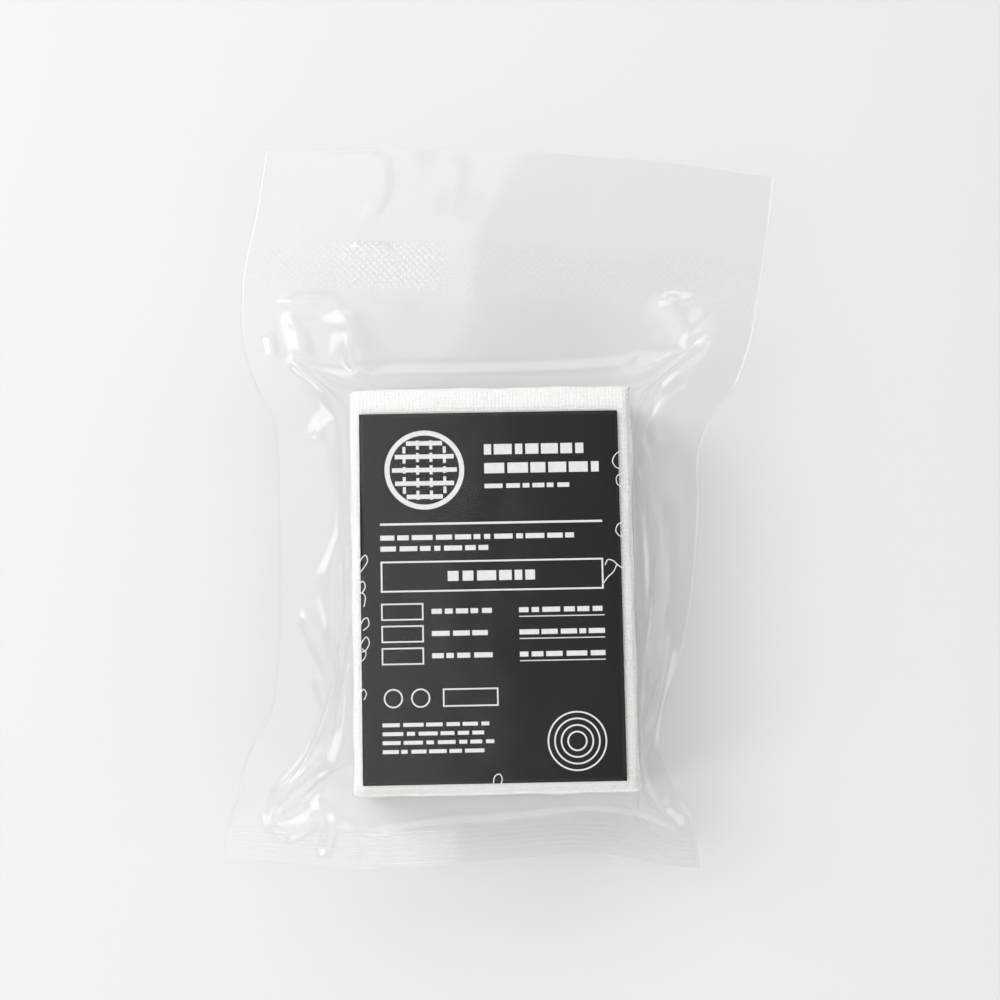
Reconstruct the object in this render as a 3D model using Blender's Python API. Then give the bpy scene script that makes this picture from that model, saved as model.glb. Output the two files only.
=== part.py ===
"""Compressed gauze: a Z-folded gauze brick with a label card, vacuum packed in a clear pouch.

The pack lies on its back. +Z is up, +Y points to the pouch's open skirt, and the origin is on
the flat underside of the back film, under the middle of the brick. All lengths are in metres.
"""

import math

import bmesh
import bpy
from mathutils import Vector

MM = 0.001

# The gauze brick: a 4.5 inch gauze folded once along its length, then to and fro
PACK_WIDTH = 57.0 * MM
PACK_LENGTH = 81.0 * MM
PACK_THICKNESS = 19.0 * MM
PANELS = 24
LAYER_GAP = 0.25 * MM
LAYER_WAVE = 0.35 * MM
FOLD_UNEVENNESS = 0.6 * MM
EDGE_UNEVENNESS = 0.5 * MM
FOLD_STEP_ANGLE = 2.4
EDGE_STEP_ANGLE = 1.7

# The label card on the brick
LABEL_WIDTH = 52.0 * MM
LABEL_LENGTH = 74.0 * MM
LABEL_THICKNESS = 0.35 * MM
LABEL_SHIFT_X = -0.5 * MM
LABEL_SHIFT_Y = -1.45 * MM

# The pouch, with its width and length as the flat bag measures
POUCH_WIDTH = 105.0 * MM
POUCH_LENGTH = 155.0 * MM
FILM_THICKNESS = 0.3 * MM
BOTTOM_TAIL = 14.5 * MM
TOP_SKIRT = 20.0 * MM
TOP_SEAL = 11.0 * MM
BOTTOM_SEAL = 7.0 * MM
SIDE_SEAL = 8.0 * MM
CORNER_RADIUS = 3.0 * MM
SLOPE_REACH = 9.0 * MM
PUFF = 1.6 * MM
PUFF_RAMP = 6.0 * MM
SKIRT_RIPPLE = 0.6 * MM
SKIRT_RIPPLE_LENGTH = 30.0 * MM

# The slope from the brick takes at most this share of a narrow margin, and a weld at most this one
SLOPE_SHARE = 0.6
WELD_SHARE = 0.5
# Pleats fade out over this share of the slope beside the brick's face
PLEAT_FADE = 0.4

# Pieces that touch in the real pack keep this gap
CLEARANCE = 0.3 * MM

# How the two ends of the pouch lean against the brick, as a slope
TOP_LEAN = 0.060
BOTTOM_LEAN = 0.045

# Worked out from the sizes above
BRICK_BOTTOM = FILM_THICKNESS + CLEARANCE
BRICK_TOP = BRICK_BOTTOM + PACK_THICKNESS
LABEL_BOTTOM = BRICK_TOP + CLEARANCE
FRONT_BOTTOM = LABEL_BOTTOM + LABEL_THICKNESS + CLEARANCE
TOTAL_THICKNESS = FRONT_BOTTOM + FILM_THICKNESS
SEAL_HEIGHT = TOTAL_THICKNESS / 2
FILM_MARGIN = CLEARANCE + FILM_THICKNESS / 2
HALF_WIDTH = PACK_WIDTH / 2 + FILM_MARGIN
HALF_LENGTH = PACK_LENGTH / 2 + FILM_MARGIN
SLOPE_TAKE = math.hypot(SEAL_HEIGHT, SLOPE_REACH) - SLOPE_REACH
TOP_TAIL = POUCH_LENGTH - PACK_LENGTH - BOTTOM_TAIL - 2 * SLOPE_TAKE
SIDE_FREE = (POUCH_WIDTH - PACK_WIDTH) / 2 - SLOPE_TAKE

# Places on the pack are given by two shares. Along, -1 and 1 are the brick's ends and -2 and 2
# the pouch's ends. Across, -1 and 1 are the brick's sides, and past them a unit is SIDE_FREE.

# The pouch's side edges: how far each stands out from the brick's side, in shares of SIDE_FREE
SIDE_EDGES = [
    {"along": -2.00, "left": 1.37, "right": 0.66},
    {"along": -1.50, "left": 1.33, "right": 0.59},
    {"along": -1.00, "left": 1.22, "right": 0.40},
    {"along": -0.80, "left": 1.12, "right": 0.24},
    {"along": -0.60, "left": 0.88, "right": 0.27},
    {"along": -0.35, "left": 0.79, "right": 0.46},
    {"along": 0.00, "left": 0.77, "right": 0.61},
    {"along": 0.40, "left": 0.77, "right": 0.70},
    {"along": 0.75, "left": 0.78, "right": 0.76},
    {"along": 0.90, "left": 0.82, "right": 0.93},
    {"along": 1.00, "left": 0.94, "right": 1.10},
    {"along": 1.15, "left": 1.09, "right": 1.26},
    {"along": 1.45, "left": 1.15, "right": 1.43},
    {"along": 1.75, "left": 0.99, "right": 1.57},
    {"along": 2.00, "left": 0.88, "right": 1.66},
]

# How the pouch's end edges bow outwards, in shares of each tail, from the left corner (-1) to the
# right corner (1)
END_BOWS = [
    {"across": -1.00, "top": 0.000, "bottom": 0.00},
    {"across": -0.50, "top": 0.020, "bottom": 0.08},
    {"across": 0.14, "top": 0.030, "bottom": -0.06},
    {"across": 0.56, "top": 0.025, "bottom": -0.19},
    {"across": 0.85, "top": 0.008, "bottom": -0.03},
    {"across": 1.00, "top": 0.000, "bottom": 0.00},
]

# Where the welded margin rises or droops, in shares of SEAL_HEIGHT, with a width and a length in
# shares of SIDE_FREE
MARGIN_WAVES = [
    {"across": -2.3, "along": -1.9, "rise": -0.50, "width": 1.0, "length": 1.2},
    {"across": 1.7, "along": -2.0, "rise": -0.42, "width": 0.8, "length": 0.9},
    {"across": -2.1, "along": 1.4, "rise": -0.20, "width": 0.8, "length": 0.9},
    {"across": 2.7, "along": 1.9, "rise": -0.30, "width": 1.2, "length": 1.2},
    {"across": -1.9, "along": 2.0, "rise": -0.15, "width": 0.9, "length": 1.0},
    {"across": 0.1, "along": 2.0, "rise": 0.12, "width": 1.6, "length": 1.1},
    {"across": -1.7, "along": 0.2, "rise": -0.10, "width": 0.5, "length": 1.6},
    {"across": 1.7, "along": 0.4, "rise": 0.10, "width": 0.5, "length": 1.2},
    {"across": -0.1, "along": -2.0, "rise": 0.08, "width": 1.0, "length": 0.5},
]

# Pleats: straight ridges between two places, with a height in shares of SEAL_HEIGHT and a half
# width in shares of SLOPE_REACH
FRONT_PLEATS = [
    {"across": -1.90, "along": 1.41, "to_across": -1.22, "to_along": 1.41, "height": 0.12, "width": 0.24},
    {"across": -1.06, "along": 1.35, "to_across": -1.24, "to_along": 1.11, "height": 0.18, "width": 0.26},
    {"across": -1.64, "along": 1.39, "to_across": -1.49, "to_along": 1.16, "height": 0.15, "width": 0.24},
    {"across": -1.01, "along": 1.35, "to_across": -0.79, "to_along": 1.04, "height": 0.18, "width": 0.26},
    {"across": 1.32, "along": 1.37, "to_across": 1.66, "to_along": 1.28, "height": 0.15, "width": 0.26},
    {"across": 1.66, "along": 1.28, "to_across": 1.62, "to_along": 1.07, "height": 0.20, "width": 0.26},
    {"across": 1.05, "along": 1.02, "to_across": 1.66, "to_along": 1.05, "height": 0.14, "width": 0.26},
    {"across": -1.02, "along": 0.95, "to_across": -1.41, "to_along": 0.79, "height": 0.14, "width": 0.26},
    {"across": -1.51, "along": -0.07, "to_across": -1.10, "to_along": -0.48, "height": 0.12, "width": 0.26},
    {"across": 1.10, "along": 0.71, "to_across": 1.14, "to_along": -0.10, "height": 0.12, "width": 0.26},
    {"across": 1.31, "along": 0.45, "to_across": 1.27, "to_along": -0.16, "height": 0.12, "width": 0.26},
    {"across": 1.40, "along": -0.26, "to_across": 1.10, "to_along": -0.80, "height": 0.12, "width": 0.26},
    {"across": 1.12, "along": 0.86, "to_across": 1.43, "to_along": 0.73, "height": 0.12, "width": 0.26},
    {"across": -1.10, "along": -0.82, "to_across": -1.83, "to_along": -1.04, "height": 0.16, "width": 0.28},
    {"across": -1.68, "along": -1.45, "to_across": -1.21, "to_along": -1.06, "height": 0.16, "width": 0.28},
    {"across": -0.97, "along": -1.30, "to_across": -0.67, "to_along": -1.10, "height": 0.12, "width": 0.24},
    {"across": 1.30, "along": -1.22, "to_across": 1.47, "to_along": -1.36, "height": 0.12, "width": 0.26},
]
BACK_PLEATS = [
    {"across": -1.05, "along": -1.05, "to_across": -1.80, "to_along": -1.45, "height": 0.16, "width": 0.30},
    {"across": 1.05, "along": -1.10, "to_across": 1.40, "to_along": -1.50, "height": 0.12, "width": 0.30},
    {"across": -1.05, "along": 1.05, "to_across": -1.70, "to_along": 1.32, "height": 0.16, "width": 0.30},
    {"across": 1.05, "along": 1.05, "to_across": 1.85, "to_along": 1.30, "height": 0.16, "width": 0.30},
    {"across": -1.20, "along": 0.35, "to_across": -1.50, "to_along": -0.20, "height": 0.10, "width": 0.30},
    {"across": 1.20, "along": 0.30, "to_across": 1.40, "to_along": -0.15, "height": 0.10, "width": 0.30},
]

# How finely each stretch of the films is divided
MARGIN_COLUMNS = 9
BRICK_COLUMNS = 6
BOTTOM_ROWS = 8
BRICK_ROWS = 14
TOP_ROWS = 17
GRADING = 1.4
CORNER_ROW = 0.3
PANEL_STEPS = 6
TURN_STEPS = 4


def clear_scene():
    """Empty the scene without closing the file."""
    for item in list(bpy.data.objects):
        bpy.data.objects.remove(item, do_unlink=True)


def smooth(value):
    """Ease from 0 to 1 as value goes from 0 to 1."""
    value = min(max(value, 0.0), 1.0)
    return value * value * (3.0 - 2.0 * value)


def read_curve(table, place, column, at):
    """Read one column of a table at a place between its rows, on a smooth curve."""
    last = len(table) - 2
    index = 0
    while index < last and at > table[index + 1][place]:
        index += 1

    def slope(row):
        low = table[max(row - 1, 0)]
        high = table[min(row + 1, len(table) - 1)]
        return (high[column] - low[column]) / (high[place] - low[place])

    first, second = table[index], table[index + 1]
    span = second[place] - first[place]
    t = min(max((at - first[place]) / span, 0.0), 1.0)
    rise = second[column] - first[column]
    start, end = slope(index) * span, slope(index + 1) * span
    cubic = t * t * (3.0 - 2.0 * t) * rise
    return first[column] + cubic + t * (1 - t) * ((1 - t) * start - t * end)


def graded(count):
    """Shares from 0 to 1 that lie closest together near 0."""
    return [(step / count) ** GRADING for step in range(count + 1)]


def place_along(along):
    """The y of a place along the pack."""
    if along > 1:
        return HALF_LENGTH + (along - 1) * TOP_TAIL
    if along < -1:
        return -HALF_LENGTH + (along + 1) * BOTTOM_TAIL
    return along * HALF_LENGTH


def place_across(across):
    """The x of a place across the pack."""
    beyond = max(abs(across) - 1, 0.0) * SIDE_FREE
    return math.copysign(min(abs(across), 1.0) * HALF_WIDTH + beyond, across)


def film_rows():
    """The shares along the pack where the films have a row of vertices."""
    bottom = [-1 - share for share in graded(BOTTOM_ROWS)]
    top = [1 + share for share in graded(TOP_ROWS)]
    middle = [-1 + 2 * step / BRICK_ROWS for step in range(1, BRICK_ROWS)]
    corner_bottom = -2 + CORNER_ROW * CORNER_RADIUS / BOTTOM_TAIL
    corner_top = 2 - CORNER_ROW * CORNER_RADIUS / TOP_TAIL
    return sorted(bottom + middle + top + [corner_bottom, corner_top])


def margin_width(along, side):
    """How far the pouch's left or right edge stands out from the brick's side."""
    return SIDE_FREE * read_curve(SIDE_EDGES, "along", side, along)


def corner_cut(along):
    """How much a rounded corner takes off the half width at a row near an end."""
    tail = BOTTOM_TAIL if along < 0 else TOP_TAIL
    to_end = (2 - abs(along)) * tail
    if to_end >= CORNER_RADIUS:
        return 0.0
    return CORNER_RADIUS - math.sqrt(CORNER_RADIUS ** 2 - (CORNER_RADIUS - to_end) ** 2)


def row_points(along):
    """The x, y and edge distances of one row of film vertices, from left to right."""
    left = -HALF_WIDTH - margin_width(along, "left") + corner_cut(along)
    right = HALF_WIDTH + margin_width(along, "right") - corner_cut(along)
    beyond = max(abs(along) - 1, 0.0)
    centre = (left + right) / 2 * beyond
    inner_left = centre - HALF_WIDTH
    inner_right = centre + HALF_WIDTH
    shares = graded(MARGIN_COLUMNS)
    xs = [inner_left + (left - inner_left) * share for share in reversed(shares)]
    xs += [inner_left + 2 * HALF_WIDTH * step / BRICK_COLUMNS for step in range(1, BRICK_COLUMNS)]
    xs += [inner_right + (right - inner_right) * share for share in shares]
    end = "top" if along > 0 else "bottom"
    tail = TOP_TAIL if along > 0 else -BOTTOM_TAIL
    lean = TOP_LEAN if along > 0 else BOTTOM_LEAN
    points = []
    for x in xs:
        across = 2 * (x - left) / (right - left) - 1
        bow = read_curve(END_BOWS, "across", end, across) * tail
        points.append((x, place_along(along) + beyond * (bow - lean * x), x - left, right - x))
    return points


def drape(x, y, left_margin, right_margin):
    """How far up the slope towards the brick's face a film is: 1 on the brick, 0 on the margin."""
    margin = left_margin if x < 0 else right_margin
    tail = BOTTOM_TAIL if y < 0 else TOP_TAIL
    out_x = max(abs(x) - HALF_WIDTH, 0.0) / min(SLOPE_REACH, SLOPE_SHARE * margin)
    out_y = max(abs(y) - HALF_LENGTH, 0.0) / min(SLOPE_REACH, SLOPE_SHARE * tail)
    return max(1.0 - math.hypot(out_x, out_y), 0.0) ** 2


def margin_height(x, y, along):
    """The height of the welded margin's middle, with its waves."""
    height = SEAL_HEIGHT
    for wave in MARGIN_WAVES:
        off_x = (x - place_across(wave["across"])) / (wave["width"] * SIDE_FREE)
        off_y = (y - place_along(wave["along"])) / (wave["length"] * SIDE_FREE)
        height += wave["rise"] * SEAL_HEIGHT * math.exp(-off_x ** 2 - off_y ** 2)
    skirt = smooth((place_along(along) - HALF_LENGTH) / TOP_TAIL)
    return height + SKIRT_RIPPLE * skirt * math.sin(math.tau * x / SKIRT_RIPPLE_LENGTH)


def spread(along, from_left, from_right, left_margin, right_margin):
    """How far the two films stand apart inside the welds, away from the brick."""
    tail_top = (2 - along) * TOP_TAIL - TOP_SKIRT - TOP_SEAL
    tail_bottom = (along + 2) * BOTTOM_TAIL - BOTTOM_SEAL
    to_left = from_left - min(SIDE_SEAL, WELD_SHARE * left_margin)
    to_right = from_right - min(SIDE_SEAL, WELD_SHARE * right_margin)
    inside = min(tail_top, tail_bottom, to_left, to_right)
    return CLEARANCE + PUFF * smooth(inside / PUFF_RAMP)


def pleat_height(pleats, x, y):
    """The summed height of the pleats at one place."""
    total = 0.0
    for pleat in pleats:
        start = Vector((place_across(pleat["across"]), place_along(pleat["along"])))
        end = Vector((place_across(pleat["to_across"]), place_along(pleat["to_along"])))
        line = end - start
        offset = Vector((x, y)) - start
        share = min(max(offset.dot(line) / line.length_squared, 0.0), 1.0)
        away = (offset - line * share).length / (pleat["width"] * SLOPE_REACH)
        total += pleat["height"] * SEAL_HEIGHT * math.exp(-away ** 2)
    return total


def film_grid(is_front):
    """The middle surface of one film as rows of points."""
    grid = []
    for along in film_rows():
        left_margin = margin_width(along, "left")
        right_margin = margin_width(along, "right")
        row = []
        for x, y, from_left, from_right in row_points(along):
            face = drape(x, y, left_margin, right_margin)
            apart = spread(along, from_left, from_right, left_margin, right_margin)
            half_gap = (apart + FILM_THICKNESS) / 2
            middle = margin_height(x, y, along)
            off_brick = smooth((1 - face) / PLEAT_FADE)
            if is_front:
                brick_face = TOTAL_THICKNESS - FILM_THICKNESS / 2
                low = middle + half_gap
                z = low + (brick_face - low) * face + off_brick * pleat_height(FRONT_PLEATS, x, y)
            else:
                brick_face = FILM_THICKNESS / 2
                high = middle - half_gap
                z = high + (brick_face - high) * face - off_brick * pleat_height(BACK_PLEATS, x, y)
                z = max(z, brick_face)
            row.append(Vector((x, y, z)))
        grid.append(row)
    return grid


def grid_normals(grid):
    """Unit normals of a grid of points, pointing up."""
    normals = []
    for r, row in enumerate(grid):
        above, below = grid[min(r + 1, len(grid) - 1)], grid[max(r - 1, 0)]
        line = []
        for c in range(len(row)):
            across = row[min(c + 1, len(row) - 1)] - row[max(c - 1, 0)]
            along = above[c] - below[c]
            line.append(across.cross(along).normalized())
        normals.append(line)
    return normals


def finish_object(name, bm, material):
    """Turn a bmesh into a named object with its material."""
    bmesh.ops.recalc_face_normals(bm, faces=bm.faces)
    if bm.calc_volume(signed=True) < 0:
        bmesh.ops.reverse_faces(bm, faces=bm.faces)
    mesh = bpy.data.meshes.new(name)
    bm.to_mesh(mesh)
    bm.free()
    mesh.shade_smooth()
    mesh.set_sharp_from_angle(angle=math.radians(40))
    mesh.materials.append(material)
    item = bpy.data.objects.new(name, mesh)
    bpy.context.scene.collection.objects.link(item)
    return item


def make_film(name, is_front, material):
    """One web of the pouch, a closed skin around its middle surface."""
    grid = film_grid(is_front)
    normals = grid_normals(grid)
    bm = bmesh.new()
    sides = []
    for sign in (1, -1):
        half = sign * FILM_THICKNESS / 2
        sides.append([
            [bm.verts.new(point + normal * half) for point, normal in zip(row, line)]
            for row, line in zip(grid, normals)
        ])
    upper, lower = sides
    rows, columns = len(grid), len(grid[0])
    for r in range(rows - 1):
        for c in range(columns - 1):
            for side in sides:
                bm.faces.new((side[r][c], side[r][c + 1], side[r + 1][c + 1], side[r + 1][c]))
    rim = [(0, c) for c in range(columns)]
    rim += [(r, columns - 1) for r in range(1, rows)]
    rim += [(rows - 1, c) for c in range(columns - 2, -1, -1)]
    rim += [(r, 0) for r in range(rows - 2, 0, -1)]
    for (r, c), (next_r, next_c) in zip(rim, rim[1:] + rim[:1]):
        bm.faces.new((upper[r][c], upper[next_r][next_c], lower[next_r][next_c], lower[r][c]))
    return finish_object(name, bm, material)


def gauze_path():
    """The folded strip's middle line in the YZ plane, with each point's normal and half width."""
    pitch = (PACK_THICKNESS + LAYER_GAP) / PANELS
    layer = pitch - LAYER_GAP
    turn_radius = pitch / 2

    def fold_reach(panel):
        short = FOLD_UNEVENNESS * (0.5 + 0.5 * math.sin(FOLD_STEP_ANGLE * panel))
        return PACK_LENGTH / 2 - turn_radius - layer / 2 - short

    path = []
    for panel in range(PANELS):
        height = BRICK_BOTTOM + layer / 2 + panel * pitch
        heading = 1 if panel % 2 == 0 else -1
        start, reach = fold_reach(max(panel - 1, 0)), fold_reach(panel)
        half = PACK_WIDTH / 2 - EDGE_UNEVENNESS * (0.5 + 0.5 * math.sin(EDGE_STEP_ANGLE * panel))
        for step in range(PANEL_STEPS + 1):
            y = heading * (-start + (start + reach) * step / PANEL_STEPS)
            path.append((y, height, 0.0, heading, half))
        if panel == PANELS - 1:
            break
        for step in range(1, TURN_STEPS):
            angle = math.pi * step / TURN_STEPS
            y = heading * (reach + turn_radius * math.sin(angle))
            z = height + turn_radius * (1 - math.cos(angle))
            path.append((y, z, -math.sin(angle), heading * math.cos(angle), half))
    return path, layer


def make_gauze(name, material):
    """The gauze strip, one ribbon folded to and fro between the ends of the brick."""
    path, layer = gauze_path()
    bm = bmesh.new()
    sections = []
    for y, z, side_y, side_z, half in path:
        middle = math.sin(math.pi * (z - BRICK_BOTTOM) / PACK_THICKNESS)
        z += LAYER_WAVE * middle * math.sin(math.tau * y / PACK_LENGTH)
        corners = []
        for x, sign in ((-half, -1), (half, -1), (half, 1), (-half, 1)):
            offset = sign * layer / 2
            corners.append(bm.verts.new((x, y + side_y * offset, z + side_z * offset)))
        sections.append(corners)
    for first, second in zip(sections, sections[1:]):
        for side in range(4):
            after = (side + 1) % 4
            bm.faces.new((first[side], first[after], second[after], second[side]))
    bm.faces.new(sections[0])
    bm.faces.new(sections[-1])
    return finish_object(name, bm, material)


def make_label(name, material):
    """The label card, a thin plate on the gauze."""
    bm = bmesh.new()
    bmesh.ops.create_cube(bm, size=1.0)
    bmesh.ops.scale(bm, vec=(LABEL_WIDTH, LABEL_LENGTH, LABEL_THICKNESS), verts=bm.verts)
    centre = (LABEL_SHIFT_X, LABEL_SHIFT_Y, LABEL_BOTTOM + LABEL_THICKNESS / 2)
    bmesh.ops.translate(bm, vec=centre, verts=bm.verts)
    return finish_object(name, bm, material)


def make_material(name, colour, roughness, alpha=1.0):
    """A plain Principled material."""
    material = bpy.data.materials.new(name)
    material.use_nodes = True
    shader = material.node_tree.nodes["Principled BSDF"]
    shader.inputs["Base Color"].default_value = (*colour, 1.0)
    shader.inputs["Roughness"].default_value = roughness
    shader.inputs["Metallic"].default_value = 0.0
    shader.inputs["Alpha"].default_value = alpha
    return material


def main():
    clear_scene()
    film = make_material("clear_film", (0.86, 0.88, 0.88), 0.12, alpha=0.3)
    back = make_material("clear_back_film", (0.86, 0.88, 0.88), 0.15, alpha=0.3)
    gauze = make_material("gauze_cotton", (0.90, 0.89, 0.86), 0.9)
    card = make_material("black_card", (0.03, 0.03, 0.033), 0.45)
    make_film("back_film", False, back)
    make_gauze("gauze_strip", gauze)
    make_label("label_card", card)
    make_film("front_film", True, film)


main()
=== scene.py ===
import math

import bpy
import numpy as np
from mathutils import Matrix, Vector


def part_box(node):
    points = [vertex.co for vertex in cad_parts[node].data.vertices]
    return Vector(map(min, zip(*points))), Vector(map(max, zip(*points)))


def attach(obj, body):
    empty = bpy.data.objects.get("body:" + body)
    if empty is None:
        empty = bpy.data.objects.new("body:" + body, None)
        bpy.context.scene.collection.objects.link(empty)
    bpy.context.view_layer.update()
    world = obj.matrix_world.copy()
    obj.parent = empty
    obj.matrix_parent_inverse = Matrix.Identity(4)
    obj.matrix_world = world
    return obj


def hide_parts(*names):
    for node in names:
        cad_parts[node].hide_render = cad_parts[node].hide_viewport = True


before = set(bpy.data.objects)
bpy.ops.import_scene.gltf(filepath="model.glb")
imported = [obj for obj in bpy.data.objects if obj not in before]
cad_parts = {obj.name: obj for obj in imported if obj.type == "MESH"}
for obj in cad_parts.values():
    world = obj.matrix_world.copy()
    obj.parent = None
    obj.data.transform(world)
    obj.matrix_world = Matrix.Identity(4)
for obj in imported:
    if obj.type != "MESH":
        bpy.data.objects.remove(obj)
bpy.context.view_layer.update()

# Sizes, in millimetres
MM = 0.001
BRICK_LOW, BRICK_HIGH = (np.array(corner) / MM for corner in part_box("gauze_strip"))
CARD_LOW, CARD_HIGH = (np.array(corner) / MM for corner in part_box("label_card"))
BRICK_SIZE = BRICK_HIGH - BRICK_LOW
CARD_SIZE = CARD_HIGH - CARD_LOW
CARD_MIDDLE = (CARD_HIGH + CARD_LOW) / 2

POUCH_WIDTH = 105.0
POUCH_LENGTH = 155.0
FILM = 0.1
SIDE_SEAL = 8.0
BOTTOM_SEAL = 7.0
TOP_SEAL = 11.0
TOP_SKIRT = 20.0
BOTTOM_TAIL = 14.5
TOP_TAIL = 50.6
SIDE_FREE = 19.6
SEAL_HEIGHT = 10.4
TOP_LEAN = 0.060
BOTTOM_LEAN = 0.045
BRICK_CLEARANCE = 0.3
HALF_WIDTH = BRICK_SIZE[0] / 2 + BRICK_CLEARANCE
HALF_LENGTH = BRICK_SIZE[1] / 2 + BRICK_CLEARANCE
FILM_TOP = CARD_HIGH[2] + FILM
WELD_GAP = 0.02
LOOSE_GAP = 0.12
WELD_RAMP = 4.0
CREEP_RAMP = 16.0
EVEN_RAMP = 7.0

# Where the pouch's sides run: share along, and how far beyond the brick, in shares of SIDE_FREE
SIDE_EDGES = np.array([
    # along, left, right
    (-2.00, 1.37, 0.66), (-1.50, 1.33, 0.59), (-1.00, 1.22, 0.40), (-0.80, 1.12, 0.24),
    (-0.60, 0.88, 0.27), (-0.35, 0.79, 0.46), (0.00, 0.77, 0.61), (0.40, 0.77, 0.70),
    (0.75, 0.78, 0.76), (0.90, 0.82, 0.93), (1.00, 0.94, 1.10), (1.15, 1.09, 1.26),
    (1.45, 1.15, 1.43), (1.75, 0.99, 1.57), (2.00, 0.88, 1.66),
])
# How the two end edges bow: share of the half width, then shares of the tails' lengths
END_BOWS = np.array([
    # across, top, bottom
    (-1.0, 0.0, 0.0), (-0.5, 0.02, 0.08), (0.14, 0.03, -0.06), (0.56, 0.025, -0.19),
    (0.85, 0.008, -0.03), (1.0, 0.0, 0.0),
])
# Slow rises and dips of the flattened margin, in shares of SEAL_HEIGHT and SIDE_FREE
MARGIN_WAVES = [
    # across, along, rise, width, length
    (-2.3, -1.9, -0.50, 1.0, 1.2), (1.7, -2.0, -0.42, 0.8, 0.9), (-2.1, 1.4, -0.20, 0.8, 0.9),
    (2.7, 1.9, -0.30, 1.2, 1.2), (-1.9, 2.0, -0.15, 0.9, 1.0), (0.1, 2.0, 0.12, 1.6, 1.1),
    (-1.7, 0.2, -0.10, 0.5, 1.6), (1.7, 0.4, 0.10, 0.5, 1.2), (-0.1, -2.0, 0.08, 1.0, 0.5),
    (-0.15, 1.56, 0.24, 0.75, 0.65), (-0.35, -1.75, 0.10, 0.55, 0.35),
]
# Ridges where both webs are pinched together: points (across, along), height and half width in mm
FOLDS = [
    (((-1.90, 1.40), (-1.45, 1.41), (-1.16, 1.40), (-1.07, 1.33), (-1.12, 1.22), (-1.22, 1.10)), 0.8, 1.3),
    (((-1.66, 1.38), (-1.55, 1.28), (-1.48, 1.14)), 0.9, 1.6),
    (((-1.86, 1.28), (-1.80, 1.16)), 0.5, 1.2),
    (((-1.03, 1.40), (-0.99, 1.28), (-0.90, 1.14), (-0.76, 1.01)), 1.5, 1.5),
    (((1.28, 1.40), (1.50, 1.35), (1.66, 1.25), (1.62, 1.08)), 1.9, 1.8),
    (((1.40, 1.385), (1.76, 1.385)), 0.7, 1.1),
    (((1.80, 1.36), (2.15, 1.37)), 0.4, 1.2),
    (((1.05, 1.03), (1.35, 1.00), (1.66, 1.04)), 1.2, 1.1),
    (((1.10, 1.08), (1.40, 1.06), (1.62, 1.09)), 0.7, 1.0),
    (((1.02, 0.99), (1.30, 0.94)), 0.8, 0.9),
    (((-1.02, 0.96), (-1.20, 0.87), (-1.43, 0.78)), 1.4, 1.5),
    (((-1.55, -0.02), (-1.35, -0.22), (-1.10, -0.50)), 0.9, 2.0),
    (((-1.42, -0.35), (-1.22, -0.56), (-1.08, -0.80)), 0.8, 1.8),
    (((1.31, 0.48), (1.30, 0.15), (1.27, -0.18)), 0.8, 1.5),
    (((1.40, -0.20), (1.26, -0.50), (1.08, -0.85)), 0.9, 1.5),
    (((1.10, 0.88), (1.26, 0.80), (1.44, 0.72)), 1.1, 1.3),
    (((-1.05, -0.84), (-1.40, -0.87), (-1.76, -0.98), (-1.86, -1.25), (-1.68, -1.48), (-1.40, -1.30),
      (-1.21, -1.04)), 0.9, 1.4),
    (((-1.00, -1.16), (-0.90, -1.40), (-0.76, -1.42), (-0.68, -1.22), (-0.66, -1.04)), 1.0, 1.2),
    (((-1.19, -1.19), (-1.32, -1.88)), 0.6, 1.3),
    (((1.24, -1.10), (1.38, -1.24), (1.52, -1.42)), 0.7, 1.8),
    (((-1.00, 1.625), (-0.66, 1.615)), 0.45, 0.9),
    (((-0.88, 1.375), (-0.50, 1.370)), 0.55, 1.1),
    (((-1.02, -1.45), (-0.74, -1.45)), 0.45, 1.1),
]
# Soft streaks in the open skirt above the top seal
SKIRT_STREAKS = [
    (((-0.75, 1.84), (-0.78, 2.04)), 0.28, 2.0),
    (((-0.92, 1.68), (-0.72, 1.88)), 0.34, 1.6),
    (((-0.32, 1.64), (-0.18, 2.04)), 0.28, 2.6),
    (((0.75, 1.60), (1.15, 2.02)), 0.40, 3.8),
    (((-1.55, 1.50), (-1.52, 2.00)), 0.16, 2.6),
]
# Thin creases of the front web alone, raised off its own face
FRONT_CREASES = [
    (((-1.05, 1.28), (-0.99, 1.15), (-0.90, 1.06), (-0.77, 0.985)), 1.05, 0.95),
    (((1.14, 1.17), (1.02, 1.06), (0.90, 1.00)), 0.45, 0.9),
    (((1.09, 0.80), (1.17, 0.45), (1.19, 0.05), (1.14, -0.40)), 0.35, 1.1),
]
# Folds of the front web alone, that stand out from the brick's sides: heights are over the margin
FLANK_FOLDS = [
    (((1.02, 0.80), (1.12, 0.40), (1.16, 0.05), (1.12, -0.35), (1.04, -0.80)), 5.5, 1.5),
    (((-1.03, 0.40), (-1.11, 0.05), (-1.13, -0.30), (-1.05, -0.78)), 5.0, 1.5),
]


def ease(t):
    t = np.clip(t, 0, 1)
    return t * t * (3 - 2 * t)


def read_curve(table, column, at):
    """Smooth curve through a table's first column and the named one."""
    x, y = table[:, 0], table[:, column]
    slope = np.gradient(y, x)
    i = np.clip(np.searchsorted(x, at) - 1, 0, len(x) - 2)
    span = x[i + 1] - x[i]
    t = np.clip((at - x[i]) / span, 0, 1)
    bend = t * (1 - t) * ((1 - t) * slope[i] - t * slope[i + 1]) * span
    return y[i] + t * t * (3 - 2 * t) * (y[i + 1] - y[i]) + bend


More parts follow.
